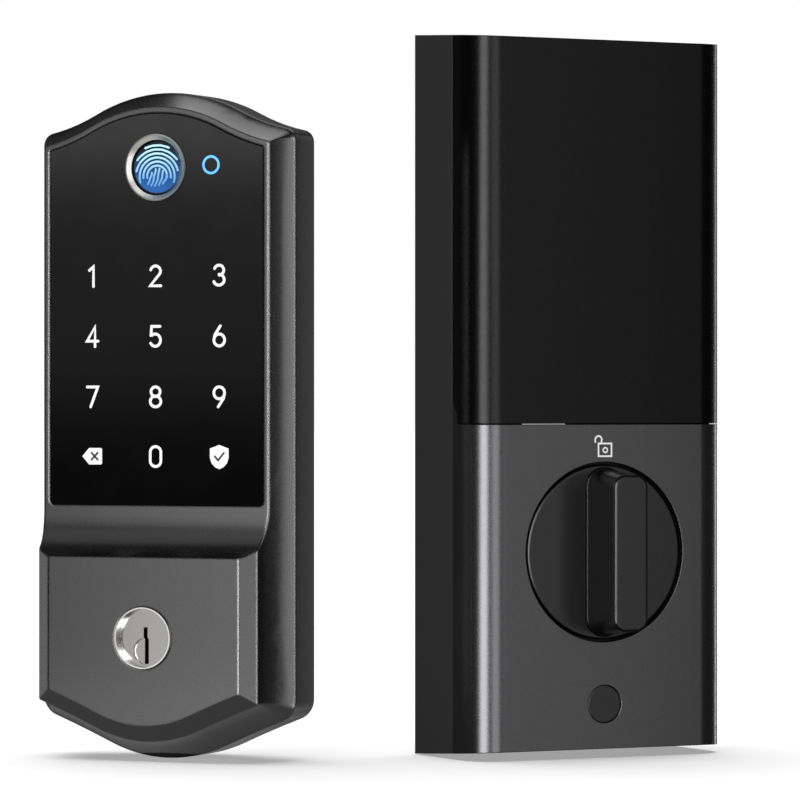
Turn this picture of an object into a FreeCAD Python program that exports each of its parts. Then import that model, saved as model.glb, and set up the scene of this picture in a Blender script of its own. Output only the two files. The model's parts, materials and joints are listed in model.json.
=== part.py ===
import FreeCAD, Part
import math
import os

from collections import namedtuple
from fcgear import fcgear, involute
from FreeCAD import Vector

# Keypad smart lock: the keypad unit for the outer side of a door and the thumb-turn unit for its
# inner side. The two stand upright beside each other, turned apart, as they come out of the box.
#
# Each unit is drawn in its own frame: x to the right when facing it, z up from its lowest line, and
# "level" is the height above the door's surface, so a level L is at y = -L. Lengths are millimetres.

# ---- where the two units stand ----
KEYPAD_YAW = -23.1
KEYPAD_FOOT = (-54.4, 5.7)
INNER_YAW = 27.3
INNER_FOOT = (36.5, 26.6)

# ---- keypad unit, outer shape ----
KEYPAD_HALF = 35.5
KEYPAD_TALL = 169.1
RIM_LEVEL = 12.0
RIM_ROUND = 0.6
PLATEAU_LEVEL = 19.0
COVE_LEVEL = 23.7
COVE_INSET = 4.9
COVE_POWER = 1.63
FACE_LEVEL = 26.5
FACE_INSET = 8.9
RAMP_TOP = 64.1
RAMP_FOOT = 51.3
SHARP_CORNER = 0.3
Crest = namedtuple("Crest", "tip up crown_r crown_deg sweep_r corner_r")
TOP_CREST = Crest(KEYPAD_TALL, 1, 43.9, 27.8, 49.4, 3.2)
FOOT_CREST = Crest(0.0, -1, 39.1, 24.5, 277.0, 5.4)

# ---- keypad unit, inside ----
BACK_PLATE_THICK = 2.0
BACK_PLATE_INSET = 1.9
GASKET_THICK = 0.8
RIM_CAVITY_INSET = 3.0
RIM_CAVITY_LEVEL = 9.0
PAD_CAVITY_INSET = 7.0
KEY_CAVITY_INSET = 10.8
KEY_CAVITY_LEVEL = 24.0
WEB = (47.6, 66.9)
PANEL_INSET = 5.6
PANEL_THICK = 1.8
PANEL_SINK = 0.1
PANEL_GAP = 0.12
PANEL_CORNER = 1.5
GUIDE_THICK = 1.2
BOARD_THICK = 1.6
BOARD_LEVEL = 13.6
KEYPAD_CHIPS = (
    ((-14, -4, 118, 128), 1.2),
    ((4, 11, 108, 115), 1.0),
    ((-6, 6, 76, 81), 4.5),
    ((-18, -12, 92, 101), 1.0),
)
BACK_SCREWS = ((27.5, 141.5), (24.5, 58.0), (27.5, 14.5))
CABLE_Z = 69.0
CABLE_R = 2.6

# ---- fingerprint reader and status light ----
READER_Z = 149.8
READER_R = 8.55
READER_PAD_R = 7.0
LIGHT_X, LIGHT_Z = 15.5, 150.2
LIGHT_R = 2.4
LIGHT_WALL = 0.65

# ---- key cylinder ----
KEY_Z = 31.1
PLUG_R = 7.35
PLUG_BORE_R = 7.4
NOSE_R = 7.75
CYLINDER_R = 10.5
PLUG_LEVEL = 24.6
SHOULDER_LEVEL = 23.8
CYLINDER_BACK = -5.0
PIN_LEVELS = (20.5, 16.5, 12.5, 8.5, 4.5)
PIN_R = 1.3
PIN_BORE_R = 1.4
BIBLE_TOP = 14.6
TAIL_LENGTH = 55.0
TAIL = (2.0, 6.5)
SPIGOT_R = 26.5
SPIGOT_LENGTH = 8.0
POST_X = 19.0
POST_R = 3.6
POST_LENGTH = 14.0
M5_TAP_R = 2.1

# ---- thumb-turn unit, outer shape ----
INNER_HALF = 37.2
INNER_TALL = 184.9
DRAFT = 2.2
INNER_DEEP = 34.2
BASE_DEEP = 21.4
SEAM = 0.1
EDGE_R = 9.0
BACK_EDGE_R = 1.2
SPLIT_Z = 82.6 + DRAFT
SPLIT_GAP = 0.15
COVER_WALL = 2.0
FACEPLATE_THICK = 1.0
FACEPLATE_LEVEL = 29.5
CHASSIS_WALL = 2.2
FLANGE_SLANT = (2.4, 6.0)

# ---- thumb turn ----
TURN_Z = 50.1 + DRAFT
TURN_DISC_R = 22.3
TURN_RECESS_R = 22.9
TURN_DISC_LEVEL = 33.9
TURN_DISC_THICK = 3.0
GRIP_FOOT = (10.2, 42.4, 4.7)
GRIP_TOP = (8.7, 38.4, 2.6)
GRIP_TALL = 14.0
GRIP_EDGE = 0.5
TURN_SHAFT_R = 6.5
BUSH_R = 8.2
RUN = 0.05
EMBLEM_Z = 11.4 + DRAFT
EMBLEM_R = 4.8

# ---- gear train: module, teeth and levels ----
MODULE = 0.8
BACKLASH_SHIFT = -0.12
DRIVE_TEETH, WHEEL_TEETH, PINION_TEETH = 50, 36, 12
GEAR_A = (11.0, TURN_Z - 22.2)
GEAR_B_ANGLE = 200.4
MOTOR_ANGLE = 195.0
DRIVE_LEVELS = (13.5, 17.5)
PINION_A_LEVELS = (13.2, 18.4)
WHEEL_A_LEVELS = (18.4, 21.2)
PINION_B_LEVELS = (18.1, 21.6)
WHEEL_B_LEVELS = (21.6, 24.3)
MOTOR_PINION_LEVELS = (21.4, 24.6)
SHAFT_R = 1.25
HUB_R = 8.8
HUB_JOURNAL_R = 7.0
MOTOR_R = 7.75

# ---- thumb-turn unit, inside ----
BASE_FLOOR = 4.0
BASE_WALL = 2.3
MOUNT_PLATE_THICK = 1.8
MOUNT_PLATE = (27.0, TURN_Z - 33.0, TURN_Z + 67.0)
MOUNT_HOLE_R = 2.75
GEARBOX_PLATE_LEVELS = (25.0, 26.4)
GEARBOX_CORNERS = ((29.5, 8.0), (-29.5, 8.0), (29.5, 77.0), (-29.5, 77.0))
CHASSIS_BOSSES = ((31.6, 44.0), (31.6, 64.0))
CHASSIS_BOSS_TOP = 29.1
PLATE_SCREW = (22.5, 107.0)
CELL_R = 7.1
CELL_LONG = 50.2
CELL_PITCH = 15.0
CELL_LEVEL = 22.3
TRAY = (31.0, 114.0, 173.4, 13.5, 29.6)
TRAY_WALL = 1.4
CONTACT_THICK = 0.5
MAIN_BOARD = (30.0, 91.0, 176.0, 6.0)
MAIN_CHIPS = (
    ((-8, 4, 126, 138), 1.2),
    ((-24, -6, 150, 166), 2.4),
    ((8, 20, 150, 158), 1.6),
    ((10, 18, 116, 122), 1.5),
)
CABLE_SLOT = (7.5, 3.6, 87.0)
SOCKET_Z = 97.0
BUTTON = (20.0, 98.0)


# ---- drawing helpers, all in a unit's own frame ----

def at(x, z, level):
    return Vector(x, -level, z)


def block(x0, x1, z0, z1, low, high):
    return Part.makeBox(x1 - x0, high - low, z1 - z0, at(x0, z0, high))


def rod(x, z, radius, low, high):
    return Part.makeCylinder(radius, high - low, at(x, z, low), Vector(0, -1, 0))


def tube(x, z, outer, inner, low, high):
    return rod(x, z, outer, low, high).cut(rod(x, z, inner, low - 1, high + 1))


def lathe(x, z, points):
    """Solid of revolution about a line square to the door, from (radius, level) points."""
    ring = [at(x + radius, z, level) for radius, level in points]
    face = Part.Face(Part.makePolygon(ring + ring[:1]))
    return face.revolve(at(x, z, 0), Vector(0, 1, 0), 360)


def joined(first, *others):
    return first.fuse(list(others)).removeSplitter()


def group(shapes):
    """Separate solids that share one node."""
    return Part.makeCompound([solid for shape in shapes for solid in shape.Solids])


def mirrored(shape):
    return shape.mirror(Vector(0, 0, 0), Vector(1, 0, 0))


def both_sides(shape):
    return [shape, mirrored(shape)]


def arc(start, end, centre, level):
    """Arc from start to end, as (x, z) points, the short way round a centre."""
    away = Vector(start[0] + end[0] - 2 * centre[0], start[1] + end[1] - 2 * centre[1], 0)
    away.Length = math.dist(start, centre)
    middle = (centre[0] + away.x, centre[1] + away.y)
    return Part.Arc(at(*start, level), at(*middle, level), at(*end, level)).toShape()


def segment(start, end, level):
    return Part.makeLine(at(*start, level), at(*end, level))


def screw(x, z, head_low, tip, shank_r, head_r, head_thick, points_out=True):
    """Screw square to the door with a cross recess; points_out tells which way its head looks."""
    way = 1 if points_out else -1
    head_high = head_low + way * head_thick
    shank = rod(x, z, shank_r, *sorted((tip, head_low)))
    head = rod(x, z, head_r, *sorted((head_low, head_high)))
    depth = sorted((head_high, head_high - way * 0.6 * head_thick))
    arm, half = 0.65 * head_r, 0.14 * head_r
    cross = block(x - arm, x + arm, z - half, z + half, *depth)
    cross = cross.fuse(block(x - half, x + half, z - arm, z + arm, *depth))
    return joined(shank, head).cut(cross)


def coil(x, level, z_low, z_high, radius, wire_r, turns):
    """Compression spring standing along z."""
    height = z_high - z_low - 2 * wire_r
    helix = Part.Wire(Part.makeHelix(height / turns, height, radius))
    along = Vector(0, radius, height / turns / math.tau)
    ring = Part.Wire(Part.makeCircle(wire_r, Vector(radius, 0, 0), along))
    spring = helix.makePipeShell([ring], True, True)
    spring.translate(at(x, z_low + wire_r, level))
    return spring


# ---- outline of the keypad unit ----

def crest_points(crest, inset):
    """Right half of a crest, moved inward by inset: where its arcs meet, and their centres."""
    lean = math.radians(crest.crown_deg)
    toward = (math.sin(lean), crest.up * math.cos(lean))
    crown_centre = (0.0, crest.tip - crest.up * crest.crown_r)
    crown_r = crest.crown_r - inset
    crown_end = (crown_r * toward[0], crown_centre[1] + crown_r * toward[1])
    reach = crest.crown_r + crest.sweep_r
    sweep_centre = (reach * toward[0], crown_centre[1] + reach * toward[1])
    corner_r = max(crest.corner_r - inset, SHARP_CORNER)
    span = crest.sweep_r + inset + corner_r
    side = KEYPAD_HALF - inset
    corner_x = side - corner_r
    rise = math.sqrt(span ** 2 - (sweep_centre[0] - corner_x) ** 2)
    corner_centre = (corner_x, sweep_centre[1] - crest.up * rise)
    back = corner_r / span
    corner_start = tuple(c + back * (s - c) for c, s in zip(corner_centre, sweep_centre))
    return {
        "crown": (crown_end, crown_centre),
        "sweep": (corner_start, sweep_centre),
        "corner": ((side, corner_centre[1]), corner_centre),
    }


def flip(point):
    return (-point[0], point[1])


def crest_edges(crest, inset, level):
    """Edges of a whole crest, from its right side over the crown to its left side."""
    points = crest_points(crest, inset)
    crown_end, crown_centre = points["crown"]
    sweep_end, sweep_centre = points["sweep"]
    side, corner_centre = points["corner"]
    return [
        arc(side, sweep_end, corner_centre, level),
        arc(sweep_end, crown_end, sweep_centre, level),
        arc(crown_end, flip(crown_end), crown_centre, level),
        arc(flip(crown_end), flip(sweep_end), flip(sweep_centre), level),
        arc(flip(sweep_end), flip(side), flip(corner_centre), level),
    ]


def outline(inset, level):
    """Closed outline of the keypad unit, moved inward by inset."""
    top = crest_points(TOP_CREST, inset)["corner"][0]
    foot = crest_points(FOOT_CREST, inset)["corner"][0]
    edges = [segment(foot, top, level)]
    edges += crest_edges(TOP_CREST, inset, level)
    edges.append(segment(flip(top), flip(foot), level))
    edges += [edge for edge in reversed(crest_edges(FOOT_CREST, inset, level))]
    return Part.Wire(Part.__sortEdges__(edges))


def outline_slab(inset, low, high):
    return Part.Face(outline(inset, low)).extrude(Vector(0, low - high, 0))


# ---- keypad unit: casing and what closes it ----

def cove_inset(level):
    """How far the hollow-curved flank has drawn in at a level above the rim."""
    climb = (level - RIM_LEVEL) / (COVE_LEVEL - RIM_LEVEL)
    return RIM_ROUND + (COVE_INSET - RIM_ROUND) * (1 - (1 - climb) ** COVE_POWER)


def ramp_cutter():
    """Everything in front of the keypad's plateau and of the hollow ramp below it."""
    drop = RAMP_TOP - RAMP_FOOT
    climb = FACE_LEVEL - PLATEAU_LEVEL
    radius = (drop ** 2 + climb ** 2) / (2 * climb)
    turn = math.asin(drop / radius) / 2
    middle = (RAMP_TOP - radius * math.sin(turn), PLATEAU_LEVEL + radius * (1 - math.cos(turn)))
    wide, high, far = 2 * KEYPAD_HALF, KEYPAD_TALL + 20, FACE_LEVEL + 10
    top = at(-wide, RAMP_TOP, PLATEAU_LEVEL)
    foot = at(-wide, RAMP_FOOT, FACE_LEVEL)
    curve = Part.Arc(top, at(-wide, *middle), foot).toShape()
    rest = Part.makePolygon([
        foot,
        at(-wide, RAMP_FOOT, far),
        at(-wide, high, far),
        at(-wide, high, PLATEAU_LEVEL),
        top,
    ])
    return Part.Face(Part.Wire([curve] + rest.Edges)).extrude(Vector(2 * wide, 0, 0))


def panel_form(grow, low, high):
    """The glass panel's shape, grown all round by grow."""
    slab = outline_slab(PANEL_INSET - grow, low, high)
    foot = RAMP_TOP + 0.3 - grow
    wide = KEYPAD_HALF - PANEL_INSET + grow
    keep = block(-wide, wide, foot, KEYPAD_TALL, low, high)
    corners = [edge for edge in keep.Edges if is_square_to_door(edge) and edge.CenterOfMass.z < foot + 1]
    return slab.common(keep.makeFillet(PANEL_CORNER, corners))


def is_square_to_door(edge):
    return abs(edge.tangentAt(edge.FirstParameter).y) > 0.99


def casing_outside():
    rim = outline_slab(0, 0, RIM_LEVEL - RIM_ROUND)
    bevel = Part.makeLoft([outline(0, RIM_LEVEL - RIM_ROUND), outline(RIM_ROUND, RIM_LEVEL)], True, True)
    steps = [RIM_LEVEL + part * (COVE_LEVEL - RIM_LEVEL) / 4 for part in range(5)]
    cove = Part.makeLoft([outline(cove_inset(level), level) for level in steps], True, False)
    brow = Part.makeLoft([outline(COVE_INSET, COVE_LEVEL), outline(FACE_INSET, FACE_LEVEL)], True, True)
    return joined(rim, bevel, cove, brow).cut(ramp_cutter())


def keypad_housing():
    body = casing_outside()
    pad_floor = PLATEAU_LEVEL - PANEL_SINK - PANEL_THICK
    high = KEYPAD_TALL + 1
    wide = KEYPAD_HALF
    hollows = [
        outline_slab(BACK_PLATE_INSET - 0.1, -1, BACK_PLATE_THICK),
        outline_slab(RIM_CAVITY_INSET, 0, RIM_CAVITY_LEVEL),
        outline_slab(PAD_CAVITY_INSET, 0, pad_floor + 1).common(block(-wide, wide, WEB[1], high, 0, 30)),
        outline_slab(KEY_CAVITY_INSET, 0, KEY_CAVITY_LEVEL).common(block(-wide, wide, 0, WEB[0], 0, 30)),
        panel_form(PANEL_GAP, pad_floor, FACE_LEVEL),
        rod(0, KEY_Z, NOSE_R + RUN, 0, FACE_LEVEL + 1),
    ]
    body = body.cut(hollows)
    bosses = []
    for x, z in BACK_SCREWS:
        bosses += both_sides(rod(x, z, 3.0, BACK_PLATE_THICK, 12.0))
    body = joined(body, *bosses)
    pilots = []
    for x, z in BACK_SCREWS:
        pilots += both_sides(rod(x, z, 1.25, 0, 11.0))
    return body.cut(pilots)


def keypad_panel():
    high = PLATEAU_LEVEL - PANEL_SINK
    panel = panel_form(0, high - PANEL_THICK, high)
    return panel.cut(rod(0, READER_Z, READER_R + 0.05, 0, high + 1))


def light_guide():
    high = PLATEAU_LEVEL - PANEL_SINK - PANEL_THICK
    sheet = outline_slab(PAD_CAVITY_INSET + 0.3, high - GUIDE_THICK, high)
    sheet = sheet.common(block(-30, 30, WEB[1] + 0.3, KEYPAD_TALL, 0, 30))
    return sheet.cut([rod(0, READER_Z, READER_R + 0.3, 0, 30), rod(LIGHT_X, LIGHT_Z, LIGHT_R, 0, 30)])


def keypad_board():
    low, high = BOARD_LEVEL, BOARD_LEVEL + BOARD_THICK
    board = outline_slab(PAD_CAVITY_INSET + 0.3, low, high)
    board = board.common(block(-30, 30, WEB[1] + 0.3, KEYPAD_TALL, 0, 30))
    board = board.cut(both_sides(rod(*BACK_SCREWS[0], 4.0, 0, 30)))
    return joined(board, *[block(*place, low - tall, low) for place, tall in KEYPAD_CHIPS])


def status_light():
    """Ring-shaped light pipe between the board and the back of the glass."""
    high = PLATEAU_LEVEL - PANEL_SINK - PANEL_THICK
    return tube(LIGHT_X, LIGHT_Z, LIGHT_R, LIGHT_R - LIGHT_WALL, high - GUIDE_THICK, high)


def fingerprint_ring():
    back = BOARD_LEVEL + BOARD_THICK
    front = PLATEAU_LEVEL + 0.35
    profile = [
        (READER_PAD_R + 0.1, back),
        (READER_R, back),
        (READER_R, front - 0.2),
        (READER_R - 0.25, front),
        (READER_R - 0.55, front),
        (READER_PAD_R + 0.1, front - 1.5),
    ]
    return lathe(0, READER_Z, profile)


def fingerprint_sensor():
    back = BOARD_LEVEL + BOARD_THICK
    top = PLATEAU_LEVEL - 1.3
    profile = [
        (0, back),
        (READER_PAD_R, back),
        (READER_PAD_R, top),
        (READER_PAD_R - 0.4, top + 0.25),
        (0, top + 0.25),
    ]
    return lathe(0, READER_Z, profile)


def buzzer():
    return tube(12, 96, 6.0, 1.2, BOARD_LEVEL - 4.0, BOARD_LEVEL)


def back_plate():
    """Steel plate that closes the casing, with the round spigot that centres it in the door's bore."""
    plate = outline_slab(BACK_PLATE_INSET, 0, BACK_PLATE_THICK)
    spigot = tube(0, KEY_Z, SPIGOT_R, SPIGOT_R - 2.0, -SPIGOT_LENGTH, 0.5)
    plate = joined(plate, spigot)
    holes = [rod(0, KEY_Z, CYLINDER_R + 0.4, -1, 3), rod(0, CABLE_Z, CABLE_R + 2.0, -1, 3)]
    holes.append(block(-5.0, 5.0, KEY_Z, KEY_Z + BIBLE_TOP + 0.4, -1, 3))
    for x, z in BACK_SCREWS:
        holes += both_sides(rod(x, z, 1.5, -1, 3))
        holes += both_sides(rod(x, z, 2.8, -1, 0.9))
    holes += both_sides(rod(POST_X, KEY_Z, POST_R - 1.0, -1, 3))
    return plate.cut(holes)


def rear_gasket():
    slab = outline_slab(0.8, -GASKET_THICK, 0)
    return slab.cut([outline_slab(5.5, -5, 5), rod(0, KEY_Z, SPIGOT_R + 1.0, -5, 5)])


def mounting_posts():
    post = joined(
        rod(POST_X, KEY_Z, POST_R, -POST_LENGTH, 0),
        rod(POST_X, KEY_Z, POST_R - 1.0, 0, BACK_PLATE_THICK),
        rod(POST_X, KEY_Z, POST_R, BACK_PLATE_THICK, BACK_PLATE_THICK + 1.2),
    )
    post = post.cut(rod(POST_X, KEY_Z, M5_TAP_R, -POST_LENGTH - 1, -1.0))
    return group(both_sides(post))


def back_plate_screws():
    screws = []
    for x, z in BACK_SCREWS:
        screws += both_sides(screw(x, z, 0.9, 9.0, 1.25, 2.6, 0.85, points_out=False))
    return group(screws)


def cable_grommet():
    """Rubber collar where the cable to the inner unit leaves through the back plate."""
    profile = [
        (CABLE_R, -1.5),
        (CABLE_R + 3.2, -1.5),
        (CABLE_R + 3.2, 0),
        (CABLE_R + 2.0, 0),
        (CABLE_R + 2.0, BACK_PLATE_THICK),
        (CABLE_R + 3.2, BACK_PLATE_THICK),
        (CABLE_R + 3.2, BACK_PLATE_THICK + 1.5),
        (CABLE_R, BACK_PLATE_THICK + 1.5),
    ]
    return lathe(0, CABLE_Z, profile)


# ---- key cylinder ----

def cylinder_housing():
    shell = rod(0, KEY_Z, CYLINDER_R, CYLINDER_BACK, SHOULDER_LEVEL)
    bible = block(-4.6, 4.6, KEY_Z, KEY_Z + BIBLE_TOP, CYLINDER_BACK + 2, SHOULDER_LEVEL - 1)
    nose = rod(0, KEY_Z, NOSE_R, SHOULDER_LEVEL, FACE_LEVEL + 0.15)
    body = joined(shell, bible, nose).cut(rod(0, KEY_Z, PLUG_BORE_R, -20, 40))
    bores = [pin_column(level, PLUG_R - 1, BIBLE_TOP - 0.8, PIN_BORE_R) for level in PIN_LEVELS]
    return body.cut(bores)


def pin_column(level, low, high, radius):
    """Upright cylinder above the key cylinder's axis, between two heights over it."""
    return Part.makeCylinder(radius, high - low, at(0, KEY_Z + low, level))


def key_plug():
    plug = rod(0, KEY_Z, PLUG_R, CYLINDER_BACK, PLUG_LEVEL)
    plug = plug.cut(block(-0.55, 0.55, KEY_Z - 6.6, KEY_Z + 2.7, CYLINDER_BACK + 3, PLUG_LEVEL + 1))
    plug = plug.cut(rod(0, KEY_Z - 3.4, 3.4, PLUG_LEVEL - 0.7, PLUG_LEVEL + 1))
    return plug.cut([pin_column(level, 2.0, PLUG_R + 1, PIN_BORE_R) for level in PIN_LEVELS])


def key_pins():
    return group([pin_column(level, 2.75, 7.2, PIN_R) for level in PIN_LEVELS])


def driver_pins():
    return group([pin_column(level, 7.5, 9.6, PIN_R) for level in PIN_LEVELS])


def pin_springs():
    low, high = KEY_Z + 9.7, KEY_Z + BIBLE_TOP - 0.9
    return group([coil(0, level, low, high, 0.9, 0.22, 3) for level in PIN_LEVELS])


def plug_cam():
    """Plate on the back of the plug that holds it in and carries the tailpiece."""
    cam = rod(0, KEY_Z, 8.6, CYLINDER_BACK - 1.8, CYLINDER_BACK - 0.1)
    neck = rod(0, KEY_Z, PLUG_R - 1.0, CYLINDER_BACK - 0.1, CYLINDER_BACK)
    half, tall = TAIL[0] / 2, TAIL[1] / 2
    slot = block(-half, half, KEY_Z - tall, KEY_Z + tall, CYLINDER_BACK - 1.8, CYLINDER_BACK)
    return joined(cam, neck).cut(slot)


def tailpiece():
    half, tall = TAIL[0] / 2, TAIL[1] / 2
    blade = block(-half, half, KEY_Z - tall, KEY_Z + tall, -TAIL_LENGTH, CYLINDER_BACK)
    tip = [edge for edge in blade.Edges if edge.CenterOfMass.y > TAIL_LENGTH - 0.1 and edge.Length < 3]
    return blade.makeChamfer(1.5, tip)


# ---- thumb-turn unit: casings ----

def front_profile(inset, level_low, z_low, z_high):
    """Upright prism with the unit's width, flat front and round front edges, moved inward by inset."""
    half, front, radius = INNER_HALF - inset, INNER_DEEP - inset, EDGE_R - inset
    side = front - radius
    bend = radius * math.sqrt(0.5)

    def mark(x, level):
        return at(x, z_low, level)

    right = Part.Arc(mark(half, side), mark(half - radius + bend, side + bend), mark(half - radius, front))
    left = Part.Arc(mark(radius - half, front), mark(radius - half - bend, side + bend), mark(-half, side))
    edges = [
        Part.makeLine(mark(-half, level_low), mark(half, level_low)),
        Part.makeLine(mark(half, level_low), mark(half, side)),
        right.toShape(),
        Part.makeLine(mark(half - radius, front), mark(radius - half, front)),
        left.toShape(),
        Part.makeLine(mark(-half, side), mark(-half, level_low)),
    ]
    return Part.Face(Part.Wire(edges)).extrude(Vector(0, 0, z_high - z_low))


def drafted(shape, inset=0.0):
    """Cut by the unit's sloping top and bottom, which draw in towards the front."""
    slope = DRAFT / INNER_DEEP
    low, high = -10.0, INNER_DEEP + 40
    wide = 2 * INNER_HALF
    corners = [
        (inset + slope * low, low),
        (INNER_TALL - inset - slope * low, low),
        (INNER_TALL - inset - slope * high, high),
        (inset + slope * high, high),
    ]
    ring = [at(-wide, z, level) for z, level in corners]
    keep = Part.Face(Part.makePolygon(ring + ring[:1])).extrude(Vector(2 * wide, 0, 0))
    return shape.common(keep)


def flange_corner(grow):
    """Wedge at the battery cover's lower rear corner, filled by the chassis below it."""
    deep, tall = FLANGE_SLANT
    low = BASE_DEEP + SEAM - 1
    wide = 2 * INNER_HALF
    foot = SPLIT_Z - 1
    ring = [
        at(-wide, foot, low),
        at(-wide, foot, BASE_DEEP + SEAM + deep + grow),
        at(-wide, SPLIT_Z + SPLIT_GAP + 0.4 * tall, BASE_DEEP + SEAM + deep + grow),
        at(-wide, SPLIT_Z + tall + grow, BASE_DEEP + SEAM),
        at(-wide, SPLIT_Z + tall + grow, low),
    ]
    wedge = Part.Face(Part.makePolygon(ring + ring[:1])).extrude(Vector(2 * wide, 0, 0))
    inside = INNER_HALF - COVER_WALL
    return wedge.cut(block(-inside, inside, 0, INNER_TALL, 0, INNER_DEEP))


def interior_base():
    """Deep tub that hangs on the mounting plate and holds everything else."""
    tub = block(-INNER_HALF, INNER_HALF, -1, INNER_TALL + 1, 0, BASE_DEEP - SEAM)
    upright = [edge for edge in tub.Edges if abs(edge.CenterOfMass.y) < 0.01 and edge.Length > 100]
    tub = drafted(tub.makeFillet(BACK_EDGE_R, upright))
    inside = INNER_HALF - BASE_WALL
    tub = tub.cut(drafted(block(-inside, inside, 0, INNER_TALL, BASE_FLOOR, BASE_DEEP + 1), BASE_WALL))
    half, low, high = MOUNT_PLATE
    tub = tub.cut(block(-half - 0.1, half + 0.1, low - 0.1, high + 0.1, -1, MOUNT_PLATE_THICK + 0.1))
    bosses = [rod(x, z, 3.0, BASE_FLOOR, GEARBOX_PLATE_LEVELS[0]) for x, z in GEARBOX_CORNERS]
    for x in (-27.0, 27.0):
        bosses += [rod(x, z, 3.0, BASE_FLOOR, MAIN_BOARD[3]) for z in (118.0, 172.0)]
    tub = joined(tub, *bosses)
    holes = [rod(0, TURN_Z, HUB_JOURNAL_R + RUN, -1, BASE_FLOOR + 1)]
    holes += both_sides(rod(POST_X, TURN_Z, 5.5, -1, BASE_FLOOR + 1))
    holes += both_sides(rod(PLATE_SCREW[0], PLATE_SCREW[1], 1.6, -1, BASE_FLOOR + 1))
    holes += [rod(x, z, SHAFT_R, 2.4, BASE_FLOOR + 1) for x, z in (GEAR_A, gear_b_place())]
    holes += [rod(x, z, 1.0, 12, 30) for x, z in GEARBOX_CORNERS]
    for x, z in CHASSIS_BOSSES:
        holes += both_sides(rod(x, z, 1.5, -1, BASE_FLOOR + 1))
        holes += both_sides(rod(x, z, 2.9, -1, 2.6))
    holes.append(cable_slot(-1, BASE_FLOOR + 1))
    return tub.cut(holes)


def cable_slot(low, high):
    half, tall, z = CABLE_SLOT
    return block(-half, half, z - tall, z + tall, low, high)


def mounting_plate():
    """Steel plate that the long screws clamp to the inner face of the door."""
    half, low, high = MOUNT_PLATE
    plate = block(-half, half, low, high, 0, MOUNT_PLATE_THICK)
    corners = [edge for edge in plate.Edges if is_square_to_door(edge)]
    plate = plate.makeFillet(3.0, corners)
    holes = [rod(0, TURN_Z, 12.0, -1, 3), cable_slot(-1, 3)]
    holes += both_sides(rod(POST_X, TURN_Z, MOUNT_HOLE_R, -1, 3))
    holes += both_sides(rod(PLATE_SCREW[0], PLATE_SCREW[1], 1.5, -1, 3))
    return plate.cut(holes)


def plate_screws():
    x, z = PLATE_SCREW
    return group(both_sides(screw(x, z, BASE_FLOOR, 0.3, 1.5, 2.9, 1.8)))


def faceplate_band(thick):
    band = front_profile(0, BASE_DEEP + SEAM, -1, SPLIT_Z)
    band = band.cut(front_profile(thick, 0, -2, SPLIT_Z + 1))
    return drafted(band.common(block(-50, 50, -5, SPLIT_Z + 5, FACEPLATE_LEVEL, 50)))


def turn_recess(radius):
    return rod(0, TURN_Z, radius, TURN_DISC_LEVEL - TURN_DISC_THICK - 0.2, INNER_DEEP + 1)


def faceplate():
    emblem = rod(0, EMBLEM_Z, EMBLEM_R + 0.05, 0, 50)
    return faceplate_band(FACEPLATE_THICK).cut([turn_recess(TURN_RECESS_R), emblem])


def chassis():
    """Moulded carrier under the metal faceplate, closed at the top where the battery cover meets it."""
    solid = drafted(front_profile(0, BASE_DEEP + SEAM, -1, SPLIT_Z))
    body = solid.cut(faceplate_band(FACEPLATE_THICK))
    wall = CHASSIS_WALL + FACEPLATE_THICK
    hollow = drafted(front_profile(wall, 0, -1, SPLIT_Z - CHASSIS_WALL), BASE_WALL)
    body = body.cut(hollow)
    disc_floor = TURN_DISC_LEVEL - TURN_DISC_THICK - 0.2
    parts = [rod(0, TURN_Z, TURN_RECESS_R + 2.0, disc_floor - 2.0, INNER_DEEP - FACEPLATE_THICK - 0.5)]
    for x, z in CHASSIS_BOSSES:
        parts += both_sides(rod(x, z, 2.8, BASE_FLOOR, CHASSIS_BOSS_TOP))
    flange = flange_corner(-SPLIT_GAP).common(front_profile(0, BASE_DEEP + SEAM, 0, INNER_TALL))
    parts += both_sides(flange.common(block(0, 2 * INNER_HALF, 0, INNER_TALL, 0, INNER_DEEP)))
    body = joined(body, *parts)
    holes = [
        turn_recess(TURN_RECESS_R),
        rod(0, TURN_Z, BUSH_R, 0, INNER_DEEP),
        rod(0, EMBLEM_Z, EMBLEM_R + 0.05, INNER_DEEP - 1.6, INNER_DEEP + 1),
    ]
    for x, z in CHASSIS_BOSSES:
        holes += both_sides(rod(x, z, 1.25, 0, 20))
    return body.cut(holes)


def chassis_screws():
    screws = []
    for x, z in CHASSIS_BOSSES:
        screws += both_sides(screw(x, z, 2.6, 16.0, 1.25, 2.6, 1.6, points_out=False))
    return group(screws)


def battery_cover():
    """Cap over the battery compartment; it slides up and off."""
    low = SPLIT_Z + SPLIT_GAP
    shell = drafted(front_profile(0, BASE_DEEP + SEAM, low, INNER_TALL + 1))
    hollow = drafted(front_profile(COVER_WALL, 0, low - 1, INNER_TALL + 1), COVER_WALL)
    return shell.cut(hollow).cut(both_sides(flange_corner(0)))


def emblem_plate():
    return rod(0, EMBLEM_Z, EMBLEM_R, INNER_DEEP - 1.6, INNER_DEEP - 0.15)


# ---- thumb turn ----

def thumb_turn_disc():
    low = TURN_DISC_LEVEL - TURN_DISC_THICK
    profile = [
        (0, low),
        (TURN_DISC_R, low),
        (TURN_DISC_R, TURN_DISC_LEVEL - 0.5),
        (TURN_DISC_R - 0.5, TURN_DISC_LEVEL),
        (0, TURN_DISC_LEVEL),
    ]
    shaft = rod(0, TURN_Z, TURN_SHAFT_R, 24.0, low)
    shaft = shaft.cut(tube(0, TURN_Z, TURN_SHAFT_R + 1, TURN_SHAFT_R - 0.8, 26.6, 27.5))
    key = square_key(3.4, 16.0, 24.0)
    return joined(lathe(0, TURN_Z, profile), shaft, key)


def square_key(half, low, high):
    return block(-half, half, TURN_Z - half, TURN_Z + half, low, high)


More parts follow.
